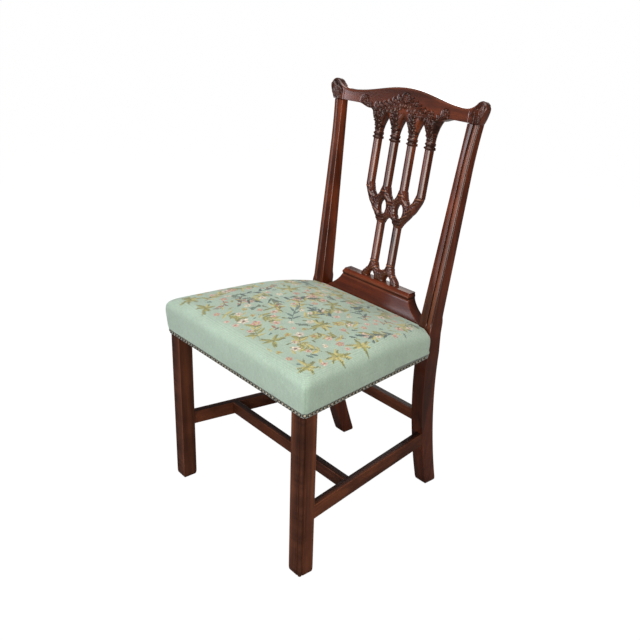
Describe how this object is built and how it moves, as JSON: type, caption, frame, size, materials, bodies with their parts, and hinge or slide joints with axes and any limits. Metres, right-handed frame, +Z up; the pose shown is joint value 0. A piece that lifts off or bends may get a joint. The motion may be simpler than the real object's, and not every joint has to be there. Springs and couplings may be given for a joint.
{
  "type": "side chair",
  "caption": "Carved mahogany side chair with a raked, pierced Gothic splat, a bowed top rail and a stuffed needlework seat closely nailed along its rails.",
  "frame": {"origin": "middle of the bounding box in plan, on the floor", "axes": "+X to the sitter's left, +Y to the back, +Z up"},
  "size_m": [0.5336, 0.522, 0.964],
  "materials": {
    "mahogany": "french polished, dark red-brown",
    "beech": "bare, sawn and planed",
    "webbing": "woven jute webbing",
    "hessian": "coarse plain jute weave",
    "stuffing": "curled hair under calico",
    "needlework": "wool tent stitch on canvas, sage green with scattered sprigs",
    "nails": "antiqued domed heads"
  },
  "bodies": {
    "root": {"front_leg_left": "mahogany", "front_leg_right": "mahogany", "back_leg_left": "mahogany", "back_leg_right": "mahogany", "crest_rail": "mahogany", "splat": "mahogany", "shoe": "mahogany", "front_rail": "beech", "back_rail": "mahogany", "side_rail_left": "beech", "side_rail_right": "beech", "side_stretcher_left": "mahogany", "side_stretcher_right": "mahogany", "cross_stretcher": "mahogany", "back_stretcher": "mahogany", "corner_block_front_left": "beech", "corner_block_front_right": "beech", "corner_block_back_left": "beech", "corner_block_back_right": "beech", "webbing_long": "webbing", "webbing_cross": "webbing", "hessian": "hessian", "stuffing": "stuffing", "seat_cover": "needlework", "nails_front": "nails", "nails_left": "nails", "nails_right": "nails"}
  },
  "joints": []
}
